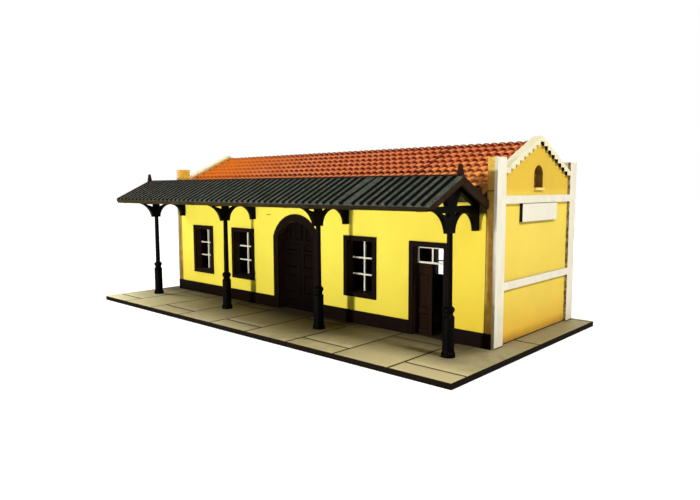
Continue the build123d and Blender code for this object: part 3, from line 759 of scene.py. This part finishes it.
def paving_board():
    """The base board: rings along it, each over the paving and back underneath.

    The joints are V grooves. Those from platform to house are evenly spaced; those along the platform lie in
    every other column of slabs, half a slab's length from the ones in the columns beside."""
    size_of = sizes()
    lo, hi = box_mm("base_board")
    width, length, half = size_of["slab_w"], size_of["slab_l"], size_of["joint_w"] / 2
    across = SLAB_MIDDLE + width * (np.arange(-5, 5) + 0.5)
    even = lo[1] + FIRST_JOINT + length * np.arange(-1, 4)
    odd = even + length / 2
    near = np.array([-1.1, -0.55, 0, 0.55, 1.1]) * half
    x = stations(lo[0], hi[0], 6, (across[:, None] + near).ravel())
    along = np.concatenate([even, odd])
    y = stations(lo[1] + BOARD_RIM, hi[1] - BOARD_RIM, 6, (along[:, None] + near).ravel())
    grid_x, grid_y = grid(x, y)
    column = np.round((grid_x - SLAB_MIDDLE) / width)
    is_odd = np.mod(column, 2) > 0.5
    cut_x = groove(grid_x[..., None] - across, half).max(-1)
    cut_even = groove(grid_y[..., None] - even, half).max(-1)
    cut_odd = groove(grid_y[..., None] - odd, half).max(-1)
    cut = np.maximum(cut_x, np.where(is_odd, cut_odd, cut_even))
    row = np.where(is_odd, np.floor((grid_y - odd[0]) / length), np.floor((grid_y - even[0]) / length) + 0.5)
    tone = scatter(column * 31.7 + row * 17.3, 1437.5)
    top = np.stack([grid_x, grid_y, hi[2] - JOINT_DEPTH * cut], -1)
    rim = np.zeros((len(x), 4, 3))
    rim[..., 0] = x[:, None]
    rim[..., 1] = [hi[1], hi[1], lo[1], lo[1]]
    rim[..., 2] = [hi[2] - BOARD_RIM, lo[2], lo[2], hi[2] - BOARD_RIM]
    joint = np.clip(cut * 2.2, 0, 1)
    tones = {"tone": behind(tone, 4), "joint": behind(joint, 4), "side": behind(cut * 0, 4, 1)}
    return np.concatenate([top, rim], 1), tones


def strip(lo, hi, along):
    """Straight bar between two corners: its chamfered section carried along one axis."""
    chamfer = 0.08
    lo, hi = np.array(lo, float), np.array(hi, float)
    u, v = [axis for axis in range(3) if axis != along]
    wide, deep = hi[u] - lo[u], hi[v] - lo[v]
    c = min(chamfer, wide / 3, deep / 3)
    section_u = np.array([c, wide - c, wide, wide, wide - c, c, 0, 0]) + lo[u]
    section_v = np.array([0, 0, c, deep - c, deep, deep, deep - c, c]) + lo[v]
    tube = np.zeros((2, 8, 3))
    tube[..., u], tube[..., v] = section_u, section_v
    tube[0, :, along], tube[1, :, along] = lo[along], hi[along]
    return tube


def sunk(across, up, panels, bevel):
    """How deep a board's face is sunk: one inside a panel, nought on the rails, a straight bevel between."""
    depth = np.zeros(np.broadcast(across, up).shape)
    for left, right, foot, head in panels:
        reach = np.minimum.reduce([across - left, right - across, up - foot, head - up])
        depth = np.maximum(depth, np.clip(reach / bevel, 0, 1))
    return depth


def board_face(across, foot, head, face, back, side, sink, turned=False):
    """Board whose head may curve: rings across it, each up the face and down the back.

    across holds the places along the board, foot and head its foot and head at each; sink gives how far the
    face is sunk at (across, up). side is -1 where the face looks to the lower end of its axis and 1 where it
    looks to the upper one. Turned, the board lies across the house."""
    grid_x, share = grid(across, np.linspace(0, 1, 97))
    up = foot + (head[:, None] - foot) * share
    front = np.stack([grid_x, face - side * sink(grid_x, up), up], -1)
    rear = np.stack([grid_x[:, :2], np.full_like(up[:, :2], back), up[:, [-1, 0]]], -1)
    tube = np.concatenate([front, rear], 1)
    return tube[..., [1, 0, 2]] if turned else tube


def arch_head(across, axis, half_w, spring, crown):
    """Height of the arc through both springings and the crown, its radius found from rise and width."""
    rise = crown - spring
    radius = (half_w**2 + rise**2) / (2 * rise)
    return crown - radius + np.sqrt(np.clip(radius**2 - (across - axis) ** 2, 0, None))


def round_head(node, axis):
    """A round-headed board's middle, half its width, and where its arc springs, across the given axis."""
    lo, hi = box_mm(node)
    corners = corners_mm(node)
    spring = corners[corners[:, axis] < lo[axis] + 0.01, 2].max()
    return (lo[axis] + hi[axis]) / 2, (hi[axis] - lo[axis]) / 2, spring


# ---- operators -----------------------------------------------------------------------------------

class StationTiles(bpy.types.Operator):
    """Lay the tile sheets on both slopes and the scalloped edge along the ridge"""

    bl_idname = "station.tiles"
    bl_label = "Roof tiles"

    def execute(self, context):
        # the third colour is the painted shade under the tiles' lips
        paint = tile_paint("roof_tiles", colours("tile"), (0.1, 0.008, 0.002))
        for side, node in ((-1, "main_roof_front"), (1, "main_roof_back")):
            tube, tones = roof_slope(node, side)
            name = node.replace("main_roof", "tiles")
            solid(name, [tube], paint, tones, crease=50, replaces=(node,))
        node = "main_roof_ridge"
        edge = plain_paint("ridge_edge", (0.14, 0.06, 0.02), 0.7, 0.6, 0.04, gloss=0.1)
        solid("tile_ridge_edge", [ridge_edge(node)], edge, crease=60, replaces=(node,))
        return {"FINISHED"}


class StationCanopy(bpy.types.Operator):
    """Lay the corrugated sheets over the canopy"""

    bl_idname = "station.canopy"
    bl_label = "Canopy sheets"

    def execute(self, context):
        paint = zinc_paint("canopy_sheet", colours("zinc"))
        middle = box_mm("canopy_front_sheet")[1][1]
        for side, node in ((-1, "canopy_front_sheet"), (1, "canopy_back_sheet")):
            tube, tones = wave_sheet(node, side, middle)
            name = node.replace("canopy_", "corrugated_")
            solid(name, [tube], paint, tones, crease=60, replaces=(node,))
        return {"FINISHED"}


class StationPaving(bpy.types.Operator):
    """Score the paving into the base board"""

    bl_idname = "station.paving"
    bl_label = "Paving"

    def execute(self, context):
        tube, tones = paving_board()
        paint = board_paint("paving", colours("paving"), (0.009, 0.005, 0.001))
        solid("paved_board", [tube], paint, tones, crease=30, replaces=("base_board",))
        return {"FINISHED"}


class StationGlazing(bpy.types.Operator):
    """Set the crossed bars into the window frames"""

    bl_idname = "station.glazing"
    bl_label = "Window bars"

    def execute(self, context):
        half = sizes()["bar_w"] / 2
        inset, tuck = 0.1, 0.2
        paint = plain_paint("window_bars", colours("trim"), 0.55, 0.1, 0.02, (3, 3, 0.6))
        for node in ("front_window_frames", "back_window_frames"):
            lo, hi = box_mm(node)
            foot, head = levels(node, 2)[1:3]
            tubes = []
            # Each frame has four upright lines: its outer edges and, between them, its pane's.
            for _, left, right, _ in levels(node, 0).reshape(-1, 4):
                middle = (left + right) / 2
                low = (middle - half, lo[1] + inset, foot - tuck)
                tubes.append(strip(low, (middle + half, hi[1] - inset, head + tuck), 2))
                for share in (1 / 3, 2 / 3):
                    level = foot + (head - foot) * share
                    low = (left - tuck, lo[1] + 2 * inset, level - half)
                    tubes.append(strip(low, (right + tuck, hi[1] - 2 * inset, level + half), 0))
            solid(node.replace("frames", "bars"), tubes, paint)
        return {"FINISHED"}


class StationDoors(bpy.types.Operator):
    """Make the panelled leaves of the doors and the fanlight over the main door"""

    bl_idname = "station.doors"
    bl_label = "Doors"

    def execute(self, context):
        brown = colours("brown")
        umber = (0.015, 0.006, 0.0022)
        dark = plain_paint("main_door_stain", shaded(brown, 0.4), 0.55, 0.45, 0.05, (3, 3, 0.35), gloss=0.04)
        warm = plain_paint("side_door_stain", umber, 0.55, 0.45, 0.05, (4, 4, 0.3), gloss=0.03)
        main_splits = ((0.05, 0.14), (0.25, 0.52), (0.63, 0.83), (0.88, 0.97))
        side_splits = ((0.07, 0.3), (0.38, 0.86))
        for leaf in ("main_door_left_leaf", "main_door_right_leaf"):
            self.hang(leaf.replace("main_door", "panelled"), self.leaf(leaf, main_splits), dark, leaf)
        self.hang("barred_fanlight", self.fanlight("main_door_fanlight"), dark, "main_door_fanlight")
        left, right = "side_door_left_leaf", "side_door_right_leaf"
        self.hang("side_left_panelled", self.leaf(left, side_splits), warm, left)
        self.hang("side_right_panelled", self.leaf(right, side_splits, turned=True), warm, right)
        return {"FINISHED"}

    def hang(self, name, tube, paint, node):
        """Put a door board in its node's place."""
        solid(name, [tube], paint, crease=25, replaces=(node,))

    def leaf(self, node, splits, turned=False):
        """Leaf with panels sunk between its stiles, each from one share of its height to another.

        Turned, it stands open across the house."""
        bevel, deep = 0.4, 0.5
        lo, hi = box_mm(node)
        if turned:
            lo, hi = lo[[1, 0, 2]], hi[[1, 0, 2]]
        stile, tall = 0.17 * (hi[0] - lo[0]), hi[2] - lo[2]
        edges = np.array([lo[0] + stile, hi[0] - stile])
        panels = [(*edges, lo[2] + tall * low, lo[2] + tall * high) for low, high in splits]
        near = (edges[:, None] + np.array([-0.7, -0.35, -0.05, 0, 0.35, 0.7])).ravel()
        across = stations(lo[0], hi[0], 0.8, near)
        head = np.full(len(across), hi[2])

        def sink(x, z):
            """Panels cut down to their full depth over the bevel."""
            return deep * sunk(x, z, panels, bevel)

        return board_face(across, lo[2], head, lo[1], hi[1], -1, sink, turned)

    def fanlight(self, node):
        """Round-headed plate, its upright bars proud of its panes, down to the leaves that it closes on."""
        gap, deep, bevel, lap = 3.6, 0.55, 0.2, 0.18
        foot_rail, rim, half_bar = 1.0, 2.4, 0.35
        lo, hi = box_mm(node)
        axis, half, spring = round_head(node, 0)
        across = stations(lo[0], hi[0], 0.25)
        head = arch_head(across, axis, half, spring, hi[2])

        def sink(x, z):
            """Panes cut down between the evenly spaced bars, the foot rail and the round rim."""
            bar = np.abs(off_whole((x - axis) / gap)) * gap
            edge = np.minimum(z - lo[2] - foot_rail, arch_head(x, axis, half, spring, hi[2]) - rim - z)
            return deep * np.clip(np.minimum(bar - half_bar, edge) / bevel, 0, 1)

        return board_face(across, lo[2] - lap, head, lo[1], hi[1], -1, sink)


class StationAttic(bpy.types.Operator):
    """Make the boarded shutters of the attic openings"""

    bl_idname = "station.attic"
    bl_label = "Attic shutters"

    def execute(self, context):
        board_w = 1.8
        paint = shutter_paint("shutter_stain", (0.12, 0.05, 0.01))
        for node in ("left_attic_shutter", "right_attic_shutter"):
            lo, hi = box_mm(node)
            axis, half, spring = round_head(node, 1)
            across = stations(lo[1], hi[1], 0.2)
            head = arch_head(across, axis, half, spring, hi[2])
            side = 1 if hi[0] > 0 else -1
            face, back = (hi[0], lo[0]) if side > 0 else (lo[0], hi[0])

            def sink(y, z):
                """A groove between every two boards."""
                return 0.22 * groove(off_whole((y - axis) / board_w), 0.12)

            tube = board_face(across, lo[2], head, face, back, side, sink, turned=True)
            solid(node.replace("shutter", "boards"), [tube], paint, crease=25, replaces=(node,))
        return {"FINISHED"}


class StationPaint(bpy.types.Operator):
    """Paint every sheet of the frame that keeps its own shape"""

    bl_idname = "station.paint"
    bl_label = "Painted sheets"

    def execute(self, context):
        cut, bare = (0.03, 0.013, 0.005), (0.06, 0.035, 0.016)
        trim, brown, iron, barge = (colours(name) for name in ("trim", "brown", "iron", "barge"))
        tin = shaded(colours("zinc"), 0.42, 0.14, 0.12)
        finishes = (
            (wall_paint("wall_paint", colours("front"), cut, bare), "front_wall back_wall"),
            (gable_paint("gable_paint", colours("gable"), bare), "left_gable_wall right_gable_wall"),
            (trim_paint("trim_card", trim), "left_gable_trim right_gable_trim"),
            (coping_paint("coping_card", trim), "left_gable_coping right_gable_coping"),
            (sign_paint("sign_card", trim), "right_gable_sign"),
            (transom_paint("transom_card", trim, (0.02, 0.016, 0.01)), "side_door_transom"),
            (plain_paint("plinth_paint", brown, 0.6, 0.35, 0.03),
             "front_plinth back_plinth front_window_surrounds main_door_surround side_door_surround "
             "back_surrounds"),
            (plain_paint("frame_card", shaded(brown, 1.5), 0.6, 0.2, 0.02),
             "front_window_frames back_window_frames"),
            (plain_paint("back_door_stain", shaded(brown, 1.4), 0.55, 0.4, 0.05, (3, 3, 0.35)),
             "back_main_door back_side_door"),
            (plain_paint("sill_paint", (0.85, 0.66, 0.2), 0.6, 0.15, 0.03),
             "left_attic_sill right_attic_sill"),
            (plain_paint("iron_paint", iron, 0.5, 0.35, 0.03, (1, 1, 0.6), gloss=0.03),
             " ".join(f"canopy_column_{count} canopy_truss_{count}" for count in range(1, 5))),
            (plain_paint("canopy_ridge", tin, 0.6, 0.4, 0.03), "canopy_ridge_cap"),
            (plain_paint("barge_stain", shaded(barge, 0.7), 0.6, 0.4, 0.05, (0.5, 1, 1)),
             "canopy_barge_boards"),
            (fascia_paint("fascia_stain", barge), "canopy_fascia"),
        )
        for material, nodes in finishes:
            for node in nodes.split():
                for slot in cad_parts[node].material_slots:
                    slot.material = material
        return {"FINISHED"}


class StationStage(bpy.types.Operator):
    """Set out the floor, the light and the camera"""

    bl_idname = "station.stage"
    bl_label = "Stage"

    def execute(self, context):
        scene = context.scene
        scene.view_settings.view_transform = "Standard"
        self.floor()
        self.world(scene)
        self.lamp("key_light", (3, -319, 36), (0, -30, 26), 16, 0.63)
        self.lamp("right_light", (430, -60, 350), (90, -10, 40), 70, 1.9)
        self.lamp("left_light", (-250, -90, 190), (-90, -10, 30), 70, 0.42)
        self.lamp("back_light", (-40, 430, 120), (0, 30, 30), 160, 0.86)
        self.lamp("top_light", (-60, -60, 640), (0, 0, 20), 400, 0.55)
        self.camera(scene)
        return {"FINISHED"}

    def floor(self):
        """White floor that keeps the station's shadow and shows as white to the camera."""
        cells, reach, below = 12, 3000, 0.05
        i, j = grid(np.arange(cells), np.arange(cells))
        corner = (i * (cells + 1) + j).ravel()
        quads = np.stack([corner, corner + cells + 1, corner + cells + 2, corner + 1], -1)
        lines = np.linspace(-reach, reach, cells + 1)
        u, v = grid(lines, lines)
        points = np.stack([u, v, np.full_like(u, -below)], -1).reshape(-1, 3) * MM
        mesh = bpy.data.meshes.new("floor")
        mesh.from_pydata(points.tolist(), [], quads.tolist())
        mesh.materials.append(self.floor_paint())
        floor = set_out("floor", mesh)

    def floor_paint(self):
        """Matt white that the camera sees glow, faintly round the house and pure white beyond."""
        paint = Paint("floor_paint")
        place = {0: paint.where["Object"]}
        away = paint.node("ShaderNodeVectorMath", place, operation="LENGTH").outputs["Value"]
        strength = paint.span(away, 130 * MM, 340 * MM, 0.42, 1)
        matt = paint.node("ShaderNodeBsdfDiffuse", {"Color": (0.82, 0.82, 0.82)}).outputs[0]
        glow = paint.node("ShaderNodeEmission", {"Color": (1, 1, 1), "Strength": strength}).outputs[0]
        bright = paint.node("ShaderNodeAddShader", {0: matt, 1: glow}).outputs[0]
        mixed = paint.node("ShaderNodeMixShader", {0: paint.seen(), 1: matt, 2: bright}).outputs[0]
        paint.node("ShaderNodeOutputMaterial", {0: mixed})
        return paint.material

    def world(self, scene):
        """Even pale surroundings, pure white where the camera sees them."""
        world = bpy.data.worlds.new("studio")
        world.use_nodes = True
        nodes = Nodes(world.node_tree)
        fill = nodes.node("ShaderNodeBackground", {"Color": (1, 0.99, 0.97), "Strength": 0.14}).outputs[0]
        white = nodes.node("ShaderNodeBackground", {"Color": (1, 1, 1), "Strength": 1.0}).outputs[0]
        light = nodes.node("ShaderNodeLightPath").outputs
        clear = nodes.either(light["Is Camera Ray"], light["Is Transmission Ray"])
        mixed = nodes.node("ShaderNodeMixShader", {0: clear, 1: fill, 2: white}).outputs[0]
        nodes.node("ShaderNodeOutputWorld", {0: mixed})
        scene.world = world

    def lamp(self, name, place, aim, width, watts):
        """Square soft lamp turned to a point, in millimetres."""
        data = bpy.data.lights.new(name, "AREA")
        data.shape = "SQUARE"
        data.size = width * MM
        data.energy = watts
        lamp = set_out(name, data)
        lamp.location = Vector(place) * MM
        lamp.rotation_euler = (Vector(aim) - Vector(place)).to_track_quat("-Z", "Y").to_euler()

    def camera(self, scene):
        """Camera at eye level on the platform's right, looking a little down."""
        place = Vector((190.4, -207.85, 55.4)) * MM
        turn, down, roll = (math.radians(angle) for angle in (42.317, 5.833, -0.098))
        data = bpy.data.cameras.new("camera")
        data.sensor_width = 36
        data.lens = 30.72
        data.clip_start, data.clip_end = 0.005, 20
        camera = set_out("camera", data)
        look = Vector((-math.sin(turn) * math.cos(down), math.cos(turn) * math.cos(down), -math.sin(down)))
        facing = look.to_track_quat("-Z", "Y").to_matrix() @ Matrix.Rotation(roll, 3, "Z")
        camera.matrix_world = Matrix.LocRotScale(place, facing, None)
        scene.camera = camera


class StationPanel(bpy.types.Panel):
    """Sizes, colours and steps of the station building"""

    bl_idname = "VIEW3D_PT_station"
    bl_label = "Station building"
    bl_space_type = "VIEW_3D"
    bl_region_type = "UI"
    bl_category = "Station"

    def draw(self, context):
        for group in (context.scene.station_sizes, context.scene.station_colours):
            column = self.layout.column()
            for key in type(group).__annotations__:
                column.prop(group, key)
        for operator in OPERATORS:
            self.layout.operator(operator.bl_idname)


OPERATORS = (
    StationStage, StationPaint, StationTiles, StationCanopy,
    StationPaving, StationGlazing, StationDoors, StationAttic,
)
CLASSES = (StationSizes, StationColours, *OPERATORS, StationPanel)


def register():
    """Make the classes and the scene's two groups of settings known."""
    for cls in CLASSES:
        bpy.utils.register_class(cls)
    bpy.types.Scene.station_sizes = bpy.props.PointerProperty(type=StationSizes)
    bpy.types.Scene.station_colours = bpy.props.PointerProperty(type=StationColours)


def unregister():
    """Take away what register made."""
    del bpy.types.Scene.station_sizes
    del bpy.types.Scene.station_colours
    for cls in reversed(CLASSES):
        bpy.utils.unregister_class(cls)


def main():
    """Run every step in order."""
    register()
    for operator in OPERATORS:
        group, name = operator.bl_idname.split(".")
        getattr(getattr(bpy.ops, group), name)()


if __name__ == "__main__":
    main()
